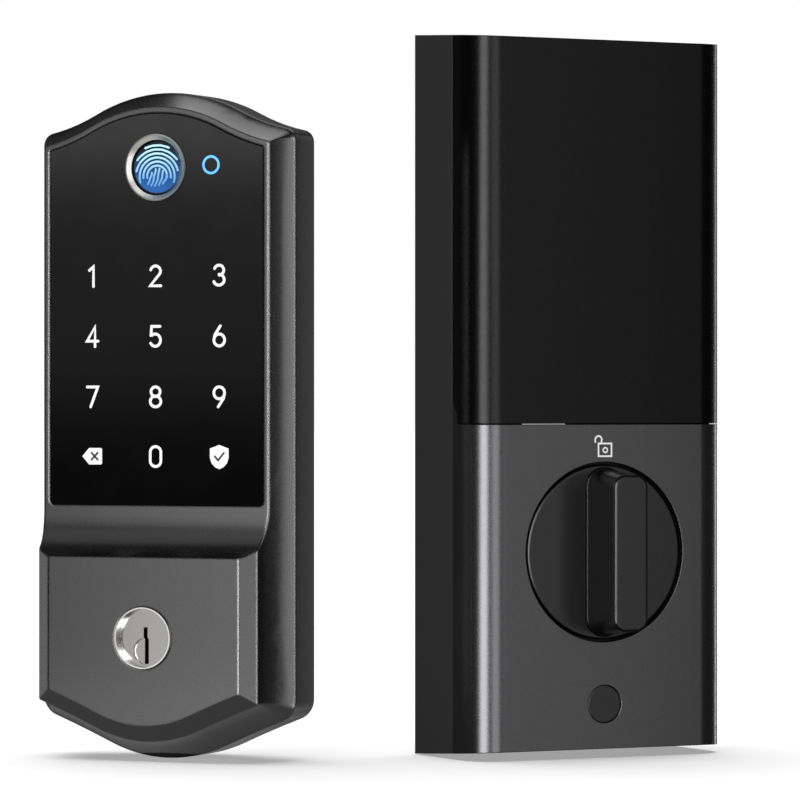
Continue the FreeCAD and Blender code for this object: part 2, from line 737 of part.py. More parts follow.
def bar_section(width, length, corner, level):
    """Upright oblong section of the grip with rounded corners."""
    side, end = width / 2, length / 2
    mid = corner * (1 - math.sqrt(0.5))
    edges = []
    for across, up in ((1, 1), (-1, 1), (-1, -1), (1, -1)):
        flank = at(across * side, TURN_Z + up * (end - corner), level)
        bend = at(across * (side - mid), TURN_Z + up * (end - mid), level)
        brow = at(across * (side - corner), TURN_Z + up * end, level)
        ends = (flank, brow) if across == up else (brow, flank)
        edges.append(Part.Arc(ends[0], bend, ends[1]).toShape())
    joins = [Part.makeLine(edges[i - 1].lastVertex().Point, edges[i].firstVertex().Point) for i in range(4)]
    return Part.Wire([edge for pair in zip(joins, edges) for edge in pair])


def thumb_turn_grip():
    width, length, corner = GRIP_TOP
    grown = 2 * GRIP_EDGE
    top = TURN_DISC_LEVEL + GRIP_TALL
    foot = bar_section(*GRIP_FOOT, TURN_DISC_LEVEL)
    brow = bar_section(width + grown, length + grown, corner + GRIP_EDGE, top - GRIP_EDGE)
    crown = bar_section(width, length, corner, top)
    return Part.makeLoft([foot, brow, crown], True, True)


def thumb_turn_bush():
    low = TURN_DISC_LEVEL - TURN_DISC_THICK - 2.2
    return tube(0, TURN_Z, BUSH_R, TURN_SHAFT_R + RUN, low, low + 1.9)


def retaining_ring():
    return tube(0, TURN_Z, TURN_SHAFT_R + 2.0, TURN_SHAFT_R - 0.8, 26.65, 27.45)


# ---- gear train ----

def gear(place, teeth, phase_deg, levels):
    """Spur gear with involute teeth, thinned for backlash; phase_deg is where a tooth points."""
    pen = fcgear.FCWireBuilder()
    involute.CreateExternalGear(pen, MODULE, teeth, 20, True, shiftCoeff=BACKLASH_SHIFT)
    face = Part.Face(Part.Wire([curve.toShape() for curve in pen.wire]))
    solid = face.extrude(Vector(0, 0, levels[1] - levels[0]))
    solid.rotate(Vector(), Vector(0, 0, 1), phase_deg)
    solid.rotate(Vector(), Vector(1, 0, 0), 90)
    solid.translate(at(*place, levels[0]))
    return solid


def centre_distance(teeth, more_teeth):
    return MODULE * (teeth + more_teeth) / 2


def polar(centre, distance, angle_deg):
    angle = math.radians(angle_deg)
    return (centre[0] + distance * math.cos(angle), centre[1] + distance * math.sin(angle))


def gear_b_place():
    return polar(GEAR_A, centre_distance(WHEEL_TEETH, PINION_TEETH), GEAR_B_ANGLE)


def motor_place():
    return polar(gear_b_place(), centre_distance(WHEEL_TEETH, PINION_TEETH), MOTOR_ANGLE)


def bearing_deg(start, end):
    return math.degrees(math.atan2(end[1] - start[1], end[0] - start[0]))


def meshing_phase(start, teeth, phase_deg, end, more_teeth):
    """Phase of a gear at end so that its teeth fall in the gaps of the one at start."""
    bearing = bearing_deg(start, end)
    along = (bearing - phase_deg) * teeth / 360
    return bearing + 180 - 360 / more_teeth * (0.5 - along)


def drive_gear():
    """Output gear and hub on the thumb turn's axis; the door's tailpiece enters it from behind."""
    centre = (0, TURN_Z)
    hub = rod(0, TURN_Z, HUB_R, BASE_FLOOR + 0.1, 23.8)
    journal = rod(0, TURN_Z, HUB_JOURNAL_R, 2.0, BASE_FLOOR + 0.1)
    body = joined(gear(centre, DRIVE_TEETH, 0, DRIVE_LEVELS), hub, journal)
    half, tall = TAIL[0] / 2 + 0.25, TAIL[1] / 2 + 0.25
    slot = block(-half, half, TURN_Z - tall, TURN_Z + tall, 0, 13.5)
    return body.cut([slot, square_key(3.4, 15.8, 30)])


def first_gear():
    phase = meshing_phase((0, TURN_Z), DRIVE_TEETH, 0, GEAR_A, PINION_TEETH)
    pinion = gear(GEAR_A, PINION_TEETH, phase, PINION_A_LEVELS)
    wheel = gear(GEAR_A, WHEEL_TEETH, 0, WHEEL_A_LEVELS)
    return joined(pinion, wheel).cut(rod(*GEAR_A, SHAFT_R + RUN, 0, 40))


def second_gear():
    place = gear_b_place()
    phase = meshing_phase(GEAR_A, WHEEL_TEETH, 0, place, PINION_TEETH)
    pinion = gear(place, PINION_TEETH, phase, PINION_B_LEVELS)
    wheel = gear(place, WHEEL_TEETH, 0, WHEEL_B_LEVELS)
    return joined(pinion, wheel).cut(rod(*place, SHAFT_R + RUN, 0, 40))


def motor_pinion():
    place = motor_place()
    phase = meshing_phase(gear_b_place(), WHEEL_TEETH, 0, place, PINION_TEETH)
    spindle = rod(*place, 0.9, 20.8, 21.4)
    return joined(gear(place, PINION_TEETH, phase, MOTOR_PINION_LEVELS), spindle)


def drive_motor():
    x, z = motor_place()
    can = rod(x, z, MOTOR_R, BASE_FLOOR, 19.6)
    boss = rod(x, z, 3.0, 19.6, 20.7)
    return joined(can, boss).cut(rod(x, z, 1.0, 18.5, 21))


def gear_shafts():
    top = GEARBOX_PLATE_LEVELS[1]
    return group([rod(x, z, SHAFT_R, 2.4, top) for x, z in (GEAR_A, gear_b_place())])


def gearbox_plate():
    low, high = GEARBOX_PLATE_LEVELS
    plate = block(-32.0, 32.0, 4.8, 80.0, low, high)
    plate = plate.cut(both_sides(block(26.8, 33, 40.5, 67.5, low - 1, high + 1)))
    holes = [rod(0, TURN_Z, TURN_SHAFT_R + 0.8, 0, 40)]
    holes += [rod(x, z, SHAFT_R, 0, 40) for x, z in (GEAR_A, gear_b_place())]
    holes += [rod(x, z, 1.1, 0, 40) for x, z in GEARBOX_CORNERS]
    return plate.cut(holes)


def gearbox_screws():
    top = GEARBOX_PLATE_LEVELS[1]
    return group([screw(x, z, top, 16.0, 1.0, 2.0, 1.3) for x, z in GEARBOX_CORNERS])


# ---- battery compartment and electronics ----

def battery_tray():
    half, low, high, back, front = TRAY
    tray = block(-half, half, low, high, back, front)
    wall = TRAY_WALL
    tray = tray.cut(block(wall - half, half - wall, low + wall, high - wall, back + wall - 0.3, front + 1))
    ribs = []
    for step in (-1, 0, 1):
        x = step * CELL_PITCH
        ribs.append(block(x - 0.3, x + 0.3, low + 12, high - 12, back, back + 4.0))
    feet = []
    for x in (-27.0, 27.0):
        feet += [rod(x, z, 2.4, MAIN_BOARD[3] + BOARD_THICK, back) for z in (118.0, 170.0)]
    return joined(tray, *ribs, *feet)


def cell_columns():
    """Each cell's x, and whether its plus end is up."""
    return [((index - 1.5) * CELL_PITCH, index % 2 == 0) for index in range(4)]


def cell_room():
    low, high = TRAY[1] + TRAY_WALL + CONTACT_THICK, TRAY[2] - TRAY_WALL - CONTACT_THICK
    return low, high


def cell_span(plus_up):
    low, high = cell_room()
    return (high - CELL_LONG, high) if plus_up else (low, low + CELL_LONG)


def batteries():
    cells = []
    for x, plus_up in cell_columns():
        low, high = cell_span(plus_up)
        body_low = low if plus_up else low + 1.0
        can = Part.makeCylinder(CELL_R, CELL_LONG - 1.0, at(x, body_low, CELL_LEVEL))
        nub = Part.makeCylinder(2.7, CELL_LONG, at(x, low, CELL_LEVEL))
        cells.append(joined(can, nub))
    return group(cells)


def battery_contacts():
    low, high = cell_room()
    parts = []
    for x, plus_up in cell_columns():
        for z in (low - CONTACT_THICK, high):
            parts.append(block(x - 6.4, x + 6.4, z, z + CONTACT_THICK, CELL_LEVEL - 5.5, CELL_LEVEL + 5.5))
        cell_low, cell_high = cell_span(plus_up)
        span = (low, cell_low) if plus_up else (cell_high, high)
        parts.append(coil(x, CELL_LEVEL, span[0] + 0.02, span[1] - 0.02, 3.6, 0.4, 3))
    return group(parts)


def main_board():
    half, low, high, back = MAIN_BOARD
    front = back + BOARD_THICK
    board = block(-half, half, low, high, back, front)
    board = board.cut(both_sides(rod(PLATE_SCREW[0], PLATE_SCREW[1], 3.6, 0, 20)))
    chips = [block(*place, front, front + tall) for place, tall in MAIN_CHIPS]
    chips.append(rod(14, 130, 3.2, front, front + 5.0))
    switch = block(BUTTON[0] - 2.5, BUTTON[0] + 2.5, BUTTON[1] - 2.5, BUTTON[1] + 2.5, front, front + 2.4)
    board = joined(board, *chips, switch)
    return board.cut(rod(*BUTTON, 1.6, front + 0.8, 30))


def reset_button():
    front = MAIN_BOARD[3] + BOARD_THICK
    return rod(*BUTTON, 1.55, front + 1.4, front + 4.0)


def cable_socket():
    front = MAIN_BOARD[3] + BOARD_THICK
    socket = block(-8, 8, SOCKET_Z - 3.5, SOCKET_Z + 3.5, front, front + 7.0)
    return socket.cut(block(-6.8, 6.8, SOCKET_Z - 2.3, SOCKET_Z + 2.3, front + 1.2, front + 8))


def position_sensor():
    """Small circuit beside the output gear that reads the thumb turn's angle."""
    board = block(-32.0, -22.5, 68.2, 73.2, BASE_FLOOR, BASE_FLOOR + 5.0)
    return joined(board, block(-24.5, -22.5, 69.0, 72.0, BASE_FLOOR + 5.0, BASE_FLOOR + 8.0))


EXTERIOR_PARTS = {
    "keypad_housing": keypad_housing,
    "keypad_panel": keypad_panel,
    "keypad_light_guide": light_guide,
    "keypad_board": keypad_board,
    "status_light_pipe": status_light,
    "fingerprint_ring": fingerprint_ring,
    "fingerprint_sensor": fingerprint_sensor,
    "buzzer": buzzer,
    "keypad_back_plate": back_plate,
    "back_plate_screws": back_plate_screws,
    "rear_gasket": rear_gasket,
    "cable_grommet": cable_grommet,
    "mounting_posts": mounting_posts,
    "cylinder_housing": cylinder_housing,
    "key_plug": key_plug,
    "key_pins": key_pins,
    "driver_pins": driver_pins,
    "pin_springs": pin_springs,
    "plug_cam": plug_cam,
    "tailpiece": tailpiece,
}

INTERIOR_PARTS = {
    "interior_base": interior_base,
    "mounting_plate": mounting_plate,
    "plate_screws": plate_screws,
    "chassis": chassis,
    "chassis_screws": chassis_screws,
    "faceplate": faceplate,
    "emblem_plate": emblem_plate,
    "battery_cover": battery_cover,
    "thumb_turn_disc": thumb_turn_disc,
    "thumb_turn_grip": thumb_turn_grip,
    "thumb_turn_bush": thumb_turn_bush,
    "retaining_ring": retaining_ring,
    "drive_gear": drive_gear,
    "first_gear": first_gear,
    "second_gear": second_gear,
    "gear_shafts": gear_shafts,
    "motor_pinion": motor_pinion,
    "drive_motor": drive_motor,
    "gearbox_plate": gearbox_plate,
    "gearbox_screws": gearbox_screws,
    "position_sensor": position_sensor,
    "battery_tray": battery_tray,
    "batteries": batteries,
    "battery_contacts": battery_contacts,
    "main_board": main_board,
    "reset_button": reset_button,
    "cable_socket": cable_socket,
}


def standing(shape, foot, yaw):
    """A unit's part, turned and put where the unit stands."""
    placed = shape.copy()
    placed.rotate(Vector(), Vector(0, 0, 1), yaw)
    placed.translate(Vector(*foot, 0))
    return placed


def build_all():
    shapes = {}
    for node, make in EXTERIOR_PARTS.items():
        shapes[node] = standing(make(), KEYPAD_FOOT, KEYPAD_YAW)
    for node, make in INTERIOR_PARTS.items():
        shapes[node] = standing(make(), INNER_FOOT, INNER_YAW)
    return shapes


def centring(shapes):
    """Move that brings the middle of the pair's footprint to the origin."""
    box = Part.makeCompound(list(shapes.values())).optimalBoundingBox(False)
    return Vector(-box.Center.x, -box.Center.y, -box.ZMin)


def main():
    os.makedirs("parts", exist_ok=True)
    shapes = build_all()
    move = centring(shapes)
    print("moved by", move)
    for node, shape in shapes.items():
        shape.translate(move)
        shape.exportStep(f"parts/{node}.step")
        print(node, len(shape.Solids), "solids", round(shape.Volume, 1), "mm3", shape.isValid())


main()
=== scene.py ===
import json
import math

import bpy
from mathutils import Matrix, Vector

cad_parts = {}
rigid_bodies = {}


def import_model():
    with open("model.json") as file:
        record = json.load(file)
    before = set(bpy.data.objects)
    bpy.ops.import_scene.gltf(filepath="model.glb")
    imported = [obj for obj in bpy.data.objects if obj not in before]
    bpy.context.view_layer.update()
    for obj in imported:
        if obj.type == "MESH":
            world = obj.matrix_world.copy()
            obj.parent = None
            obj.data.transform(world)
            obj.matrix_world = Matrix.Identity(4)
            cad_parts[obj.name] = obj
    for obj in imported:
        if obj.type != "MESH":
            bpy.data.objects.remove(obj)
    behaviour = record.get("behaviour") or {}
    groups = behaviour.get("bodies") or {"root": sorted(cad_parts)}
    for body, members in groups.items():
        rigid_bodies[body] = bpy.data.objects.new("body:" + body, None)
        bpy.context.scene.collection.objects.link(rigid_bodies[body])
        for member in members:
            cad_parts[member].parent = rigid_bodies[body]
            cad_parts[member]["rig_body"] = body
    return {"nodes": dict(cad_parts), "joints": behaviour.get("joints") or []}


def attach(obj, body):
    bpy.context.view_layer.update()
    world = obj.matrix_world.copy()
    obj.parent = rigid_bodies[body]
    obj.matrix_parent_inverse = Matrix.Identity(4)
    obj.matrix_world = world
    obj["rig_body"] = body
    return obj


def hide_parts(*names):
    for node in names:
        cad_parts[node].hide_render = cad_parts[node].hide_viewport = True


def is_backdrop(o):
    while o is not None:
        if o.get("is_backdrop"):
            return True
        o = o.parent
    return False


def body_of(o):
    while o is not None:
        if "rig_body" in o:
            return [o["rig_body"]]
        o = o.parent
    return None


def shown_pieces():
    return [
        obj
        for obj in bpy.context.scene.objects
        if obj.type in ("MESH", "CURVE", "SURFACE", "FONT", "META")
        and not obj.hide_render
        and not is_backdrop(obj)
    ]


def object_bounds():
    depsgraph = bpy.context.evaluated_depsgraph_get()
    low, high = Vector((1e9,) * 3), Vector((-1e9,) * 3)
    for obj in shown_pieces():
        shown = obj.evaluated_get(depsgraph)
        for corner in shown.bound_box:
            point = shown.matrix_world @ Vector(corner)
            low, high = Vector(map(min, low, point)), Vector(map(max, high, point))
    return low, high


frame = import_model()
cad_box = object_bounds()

# Keypad smart lock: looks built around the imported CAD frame.
# A unit's own coordinates are millimetres: x to its right, z up, level out from the door.

MM = 0.001
NODES = frame["nodes"]
JOINTS = {joint["name"]: joint for joint in frame["joints"]}


def unit_matrix(joint_name):
    """From a unit's own millimetres to the frame's metres; the joint's axis crosses x = 0."""
    joint = JOINTS[joint_name]
    front = Vector(joint["axis"]).normalized()
    up = Vector((0, 0, 1))
    right = up.cross(front)
    foot = Vector(joint["pos_m"])
    foot.z = 0
    turn = Matrix((right, -front, up)).transposed().to_4x4()
    return Matrix.Translation(foot) @ turn @ Matrix.Scale(MM, 4)


KEYPAD = unit_matrix("key_turn")
INNER = unit_matrix("thumb_turn_spin")
KEY_Z = JOINTS["key_turn"]["pos_m"][2] / MM
TURN_Z = JOINTS["thumb_turn_spin"]["pos_m"][2] / MM


def local_box(node, unit):
    """Lowest and highest corner of a CAD node in its unit's own millimetres, as (x, -level, z)."""
    back = unit.inverted()
    points = [back @ vertex.co for vertex in NODES[node].data.vertices]
    low = Vector([min(p[i] for p in points) for i in range(3)])
    high = Vector([max(p[i] for p in points) for i in range(3)])
    return low, high


# ---------------------------------------------------------------- camera

VIEW_CENTRE = Vector((0.00487, 0.0, 0.0910))
VIEW_DISTANCE = 1.2327
LENS = 214.8


def add_camera():
    data = bpy.data.cameras.new("camera")
    data.lens = LENS
    data.sensor_width = 36
    data.clip_end = 20
    camera = bpy.data.objects.new("camera", data)
    bpy.context.scene.collection.objects.link(camera)
    camera.location = VIEW_CENTRE + Vector((0, -VIEW_DISTANCE, 0))
    camera.rotation_euler = (math.radians(90), 0, 0)
    bpy.context.scene.camera = camera


# ---------------------------------------------------------------- mesh helpers

SHARP_ANGLE = math.radians(35)


def mesh_object(name, verts, faces, unit, body, smooth=True):
    """Mesh piece from a unit's millimetres, riding on a body."""
    mesh = bpy.data.meshes.new(name)
    mesh.from_pydata([unit @ Vector(v) for v in verts], [], faces)
    mesh.validate()
    mesh.update()
    piece = bpy.data.objects.new(name, mesh)
    bpy.context.scene.collection.objects.link(piece)
    if smooth:
        mesh.polygons.foreach_set("use_smooth", [True] * len(mesh.polygons))
        mesh.set_sharp_from_angle(angle=SHARP_ANGLE)
    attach(piece, body)
    return piece


def loop_faces(steps, count):
    """Faces of a closed tube of steps sections with count points each."""
    faces = []
    for step in range(steps):
        here, there = step * count, (step + 1) % steps * count
        for i in range(count):
            j = (i + 1) % count
            faces.append((here + i, here + j, there + j, there + i))
    return faces


def lathe(name, profile, x, z, unit, body, steps=128):
    """Turned piece about a line square to the door, from a closed loop of (radius, level) points."""
    verts = []
    for step in range(steps):
        angle = math.tau * step / steps
        for radius, level in profile:
            verts.append((x + radius * math.cos(angle), -level, z + radius * math.sin(angle)))
    return mesh_object(name, verts, loop_faces(steps, len(profile)), unit, body)


LEAST_MITRE = 0.5


def ribbon_sides(points, width, closed):
    """Left and right edge of a flat stroke of one width along points, with mitred joins."""
    count = len(points)
    left, right = [], []
    for i, point in enumerate(points):
        before = points[(i - 1) % count] if closed or i > 0 else None
        after = points[(i + 1) % count] if closed or i < count - 1 else None
        arms = []
        if before is not None:
            arms.append((point - before).normalized())
        if after is not None:
            arms.append((after - point).normalized())
        along = sum(arms, Vector((0, 0))).normalized()
        normal = Vector((-along.y, along.x))
        stretch = 1 / max(LEAST_MITRE, along.dot(arms[0]))
        left.append(point + normal * width / 2 * stretch)
        right.append(point - normal * width / 2 * stretch)
    return left, right


PRINT_THICK = 0.03
END_STEPS = 5
END_WIDTH = 0.08


class Print:
    """Flat printed or lit strokes, gathered into one thin closed mesh on a unit's face."""

    def __init__(self, unit, level, thick=PRINT_THICK):
        self.unit, self.level, self.thick = unit, level, thick
        self.verts, self.faces = [], []

    def stroke(self, points, width, closed=False):
        """Stroke as quads between its two edges, with half-round ends."""
        points = [Vector(p) for p in points]
        if closed:
            widths = [1.0] * len(points)
        else:
            points, widths = self._round_ends(points, width)
        left, right = ribbon_sides(points, width, closed)
        base = len(self.verts)
        count = len(points)
        for depth in (self.level, self.level + self.thick):
            for a, b, p, w in zip(left, right, points, widths):
                for side in (a, b):
                    q = p + (side - p) * w
                    self.verts.append((q.x, -depth, q.y))
        top = base + 2 * count
        spans = range(count) if closed else range(count - 1)
        for i in spans:
            j = (i + 1) % count
            a, b, c, d = 2 * i, 2 * i + 1, 2 * j + 1, 2 * j
            self.faces.append((top + a, top + b, top + c, top + d))
            self.faces.append((base + d, base + c, base + b, base + a))
            self.faces.append((base + a, top + a, top + d, base + d))
            self.faces.append((base + b, base + c, top + c, top + b))
        if not closed:
            last = 2 * (count - 1)
            self.faces.append((base, base + 1, top + 1, top))
            self.faces.append((base + last, top + last, top + last + 1, base + last + 1))

    def _round_ends(self, points, width):
        """Points and their shares of the width, with a half circle added at both ends."""
        first = (points[0] - points[1]).normalized()
        last = (points[-1] - points[-2]).normalized()
        angles = [math.pi / 2 * k / END_STEPS for k in range(END_STEPS, 0, -1)]
        head = [points[0] + first * (width / 2 * math.sin(a)) for a in angles]
        tail = [points[-1] + last * (width / 2 * math.sin(a)) for a in reversed(angles)]
        narrow = [max(END_WIDTH, math.cos(a)) for a in angles]
        return head + points + tail, narrow + [1.0] * len(points) + narrow[::-1]

    def patch(self, outline):
        """Filled shape with a convex or gently hollow outline, given counter-clockwise."""
        base = len(self.verts)
        count = len(outline)
        for depth in (self.level, self.level + self.thick):
            for x, z in outline:
                self.verts.append((x, -depth, z))
        self.faces.append(tuple(base + count + i for i in range(count)))
        self.faces.append(tuple(base + i for i in reversed(range(count))))
        for i in range(count):
            j = (i + 1) % count
            self.faces.append((base + i, base + j, base + count + j, base + count + i))

    def build(self, name, body):
        return mesh_object(name, self.verts, self.faces, self.unit, body, smooth=False)


def arc_points(cx, cz, rx, rz, start, end, steps=20):
    """Points on an ellipse from one angle to another, in degrees."""
    points = []
    for k in range(steps + 1):
        angle = math.radians(start + (end - start) * k / steps)
        points.append((cx + rx * math.cos(angle), cz + rz * math.sin(angle)))
    return points


# ---------------------------------------------------------------- material helpers

class Finish:
    """Small helper around one node material."""

    def __init__(self, name):
        self.material = bpy.data.materials.new(name)
        self.material.use_nodes = True
        self.tree = self.material.node_tree
        self.shader = self.tree.nodes["Principled BSDF"]
        self.coords = self.tree.nodes.new("ShaderNodeTexCoord").outputs["Object"]

    def set(self, **values):
        for key, value in values.items():
            self.shader.inputs[key.replace("_", " ")].default_value = value

    def node(self, kind, **values):
        made = self.tree.nodes.new(kind)
        for key, value in values.items():
            made.inputs[key.replace("_", " ")].default_value = value
        return made

    def link(self, start, end):
        self.tree.links.new(start, end)

    def grain(self, scale, detail, stretch=(1, 1, 1)):
        """Noise over the object, stretched along its axes."""
        mapping = self.node("ShaderNodeMapping", Scale=stretch)
        noise = self.node("ShaderNodeTexNoise", Scale=scale, Detail=detail, Roughness=0.6)
        self.link(self.coords, mapping.inputs["Vector"])
        self.link(mapping.outputs["Vector"], noise.inputs["Vector"])
        return noise.outputs["Fac"]

    def between(self, fac, low, high, start=0.35, end=0.65):
        """Colour or grey that goes from low to high as fac goes from start to end."""
        ramp = self.tree.nodes.new("ShaderNodeValToRGB")
        ramp.color_ramp.elements[0].position = start
        ramp.color_ramp.elements[1].position = end
        for element, value in zip(ramp.color_ramp.elements, (low, high)):
            element.color = (value, value, value, 1) if isinstance(value, float) else (*value, 1)
        self.link(fac, ramp.inputs["Fac"])
        return ramp.outputs["Color"]

    def mottled(self, color, spread, scale):
        """Colour that varies by a share of itself."""
        low = tuple(c * (1 - spread) for c in color)
        high = tuple(min(1.0, c * (1 + spread)) for c in color)
        self.link(self.between(self.grain(scale, 4.0), low, high), self.shader.inputs["Base Color"])

    def uneven(self, low, high, scale):
        """Gloss that varies over the surface."""
        self.link(self.between(self.grain(scale, 4.0), low, high), self.shader.inputs["Roughness"])

    def bump(self, height, strength, distance, edge=0.0):
        """Fine relief; edge is a radius in millimetres that softens the look of sharp edges."""
        bump = self.node("ShaderNodeBump", Strength=strength, Distance=distance)
        if edge:
            soft = self.node("ShaderNodeBevel", Radius=edge * MM)
            soft.samples = 8
            self.link(soft.outputs["Normal"], bump.inputs["Normal"])
        self.link(height, bump.inputs["Height"])
        self.link(bump.outputs["Normal"], self.shader.inputs["Normal"])


RELIEF = 0.00002
MOTTLE_SCALE = 900.0
GLOSS_SCALE = 700.0
LINE_SCALE = 2600.0


def coated(name, color, metallic, rough, spread=0.04, grain=2600.0, depth=0.2, glow=0.0, edge=0.0):
    """Painted, moulded or plated surface: fine mottling, slightly uneven gloss and a fine grain."""
    finish = Finish(name)
    finish.set(Metallic=metallic, Emission_Color=(1, 1, 1, 1), Emission_Strength=glow)
    finish.mottled(color, spread, MOTTLE_SCALE)
    finish.uneven(rough - 0.01, rough + 0.01, GLOSS_SCALE)
    finish.bump(finish.grain(grain, 2.0), depth, RELIEF, edge)
    return finish.material


def brushed(name, color, metallic, rough, stretch, contrast=0.12, depth=0.25):
    """Metal with fine drawn lines."""
    finish = Finish(name)
    shader = finish.shader
    finish.set(Metallic=metallic)
    lines = finish.grain(LINE_SCALE, 4.0, stretch)
    low = tuple(c * (1 - contrast) for c in color)
    high = tuple(min(1.0, c * (1 + contrast)) for c in color)
    finish.link(finish.between(lines, low, high), shader.inputs["Base Color"])
    gloss = finish.between(lines, rough - contrast / 3, rough + contrast / 3)
    finish.link(gloss, shader.inputs["Roughness"])
    finish.bump(lines, depth, RELIEF)
    return finish.material


def lit(name, low_color, high_color, z_low, z_high, strength):
    """Glowing surface whose colour runs from one height to another."""
    finish = Finish(name)
    split = finish.tree.nodes.new("ShaderNodeSeparateXYZ")
    finish.link(finish.coords, split.inputs["Vector"])
    spread = finish.node("ShaderNodeMapRange")
    spread.inputs["From Min"].default_value = z_low
    spread.inputs["From Max"].default_value = z_high
    finish.link(split.outputs["Z"], spread.inputs["Value"])
    color = finish.between(spread.outputs["Result"], low_color, high_color, 0.0, 1.0)
    finish.link(color, finish.shader.inputs["Base Color"])
    finish.link(color, finish.shader.inputs["Emission Color"])
    finish.set(Emission_Strength=strength, Roughness=0.5, Specular_IOR_Level=0.1)
    return finish.material


# ---------------------------------------------------------------- materials

def black_glass():
    """Glossy panel glass with faint smears."""
    finish = Finish("black_glass")
    finish.set(Metallic=0.0, IOR=1.5)
    finish.mottled((0.004, 0.004, 0.0045), 0.2, 30.0)
    finish.uneven(0.10, 0.13, 90.0)
    finish.bump(finish.grain(400.0, 2.0), 0.02, RELIEF)
    return finish.material


METAL = coated("graphite_zinc", (0.115, 0.115, 0.117), 1.0, 0.27, spread=0.01, depth=0.0, edge=0.9)
GLASS = black_glass()
BLACK_PLASTIC = coated("black_moulding", (0.016, 0.016, 0.017), 0.0, 0.42, grain=3400.0, depth=0.5)
COVER_PLASTIC = coated("satin_black_cover", (0.030, 0.030, 0.0305), 1.0, 0.27,
                       spread=0.03, depth=0.02, edge=0.3)
BASE_PLASTIC = coated("base_moulding", (0.050, 0.050, 0.051), 0.0, 0.40, grain=3400.0, depth=0.3)
TURN_PLASTIC = coated("turn_black", (0.082, 0.082, 0.084), 1.0, 0.29, spread=0.03, depth=0.03, edge=0.6)
FACEPLATE = coated("graphite_faceplate", (0.165, 0.165, 0.170), 1.0, 0.27,
                   spread=0.015, depth=0.02, edge=0.3)
CHROME = brushed("turned_nickel", (0.36, 0.355, 0.35), 1.0, 0.20, (1, 1, 1), contrast=0.03, depth=0.05)
RING_CHROME = coated("polished_ring", (0.60, 0.595, 0.58), 1.0, 0.13, spread=0.03, depth=0.04)
RING_SATIN = coated("satin_ring", (0.58, 0.575, 0.55), 1.0, 0.36, spread=0.03, depth=0.05)
STEEL = brushed("zinc_plated_steel", (0.42, 0.42, 0.43), 1.0, 0.38, (0.05, 0.05, 1))
SCREW_STEEL = coated("screw_steel", (0.5, 0.5, 0.5), 1.0, 0.3)
SPRING_STEEL = coated("spring_steel", (0.5, 0.5, 0.52), 1.0, 0.28)
BRASS = coated("turned_brass", (0.55, 0.40, 0.17), 1.0, 0.28)
FOAM = coated("foam_gasket", (0.02, 0.02, 0.02), 0.0, 0.9, grain=1500.0, depth=0.9)
RUBBER = coated("black_rubber", (0.018, 0.018, 0.018), 0.0, 0.65)
ACETAL = coated("natural_acetal", (0.72, 0.71, 0.66), 0.0, 0.4, spread=0.05)
BOARD = coated("board_green", (0.01, 0.07, 0.035), 0.0, 0.35)
MILKY = coated("milky_plastic", (0.75, 0.75, 0.74), 0.0, 0.45, spread=0.04)
CELL = coated("cell_sleeve", (0.03, 0.04, 0.05), 0.0, 0.3)
# White legends that glow: on the keypad's digits and symbols the glow stands for the keypad's backlight;
# on the faceplate's padlock mark it is a painted glow, as no lamp lies behind it.
GLOWING_WHITE_PRINT = coated("glowing_white_legend", (0.30, 0.30, 0.30), 0.0, 0.5, spread=0.03, glow=0.62)
DARK_PRINT = coated("dark_legend", (0.01, 0.01, 0.01), 0.0, 0.4)

NODE_FINISH = {
    "keypad_housing": METAL,
    "keypad_panel": GLASS,
    "keypad_light_guide": MILKY,
    "keypad_board": BOARD,
    "status_light_pipe": MILKY,
    "fingerprint_ring": RING_CHROME,
    "fingerprint_sensor": COVER_PLASTIC,
    "buzzer": BLACK_PLASTIC,
    "keypad_back_plate": STEEL,
    "back_plate_screws": SCREW_STEEL,
    "rear_gasket": FOAM,
    "cable_grommet": RUBBER,
    "mounting_posts": STEEL,
    "cylinder_housing": RING_CHROME,
    "key_plug": CHROME,
    "key_pins": BRASS,
    "driver_pins": BRASS,
    "pin_springs": SPRING_STEEL,
    "plug_cam": STEEL,
    "tailpiece": STEEL,
    "interior_base": BASE_PLASTIC,
    "mounting_plate": STEEL,
    "plate_screws": SCREW_STEEL,
    "chassis": BLACK_PLASTIC,
    "chassis_screws": SCREW_STEEL,
    "faceplate": FACEPLATE,
    "emblem_plate": TURN_PLASTIC,
    "battery_cover": COVER_PLASTIC,
    "thumb_turn_disc": TURN_PLASTIC,
    "thumb_turn_grip": TURN_PLASTIC,
    "thumb_turn_bush": ACETAL,
    "retaining_ring": SPRING_STEEL,
    "drive_gear": ACETAL,
    "first_gear": ACETAL,
    "second_gear": ACETAL,
    "gear_shafts": SPRING_STEEL,
    "motor_pinion": BRASS,
    "drive_motor": SCREW_STEEL,
    "gearbox_plate": STEEL,
    "gearbox_screws": SCREW_STEEL,
    "position_sensor": BOARD,
    "battery_tray": BLACK_PLASTIC,
    "batteries": CELL,
    "battery_contacts": SPRING_STEEL,
    "main_board": BOARD,
    "reset_button": MILKY,
    "cable_socket": MILKY,
}

# Edge rounding of the CAD nodes, in millimetres.
EDGE_ROUNDS = {
    "keypad_housing": 0.9,
    "keypad_panel": 0.12,
    "interior_base": 0.35,
    "chassis": 0.12,
    "faceplate": 0.15,
    "battery_cover": 0.2,
    "thumb_turn_disc": 0.1,
    "thumb_turn_grip": 0.6,
    "cylinder_housing": 0.1,
    "key_plug": 0.12,
    "emblem_plate": 0.15,
    "tailpiece": 0.15,
    "mounting_plate": 0.2,
    "keypad_back_plate": 0.2,
}


WELD_REACH = 1e-6
FLAT_ANGLE = math.radians(0.6)
EDGE_ANGLE = math.radians(28)
FACE_WEIGHT = 80


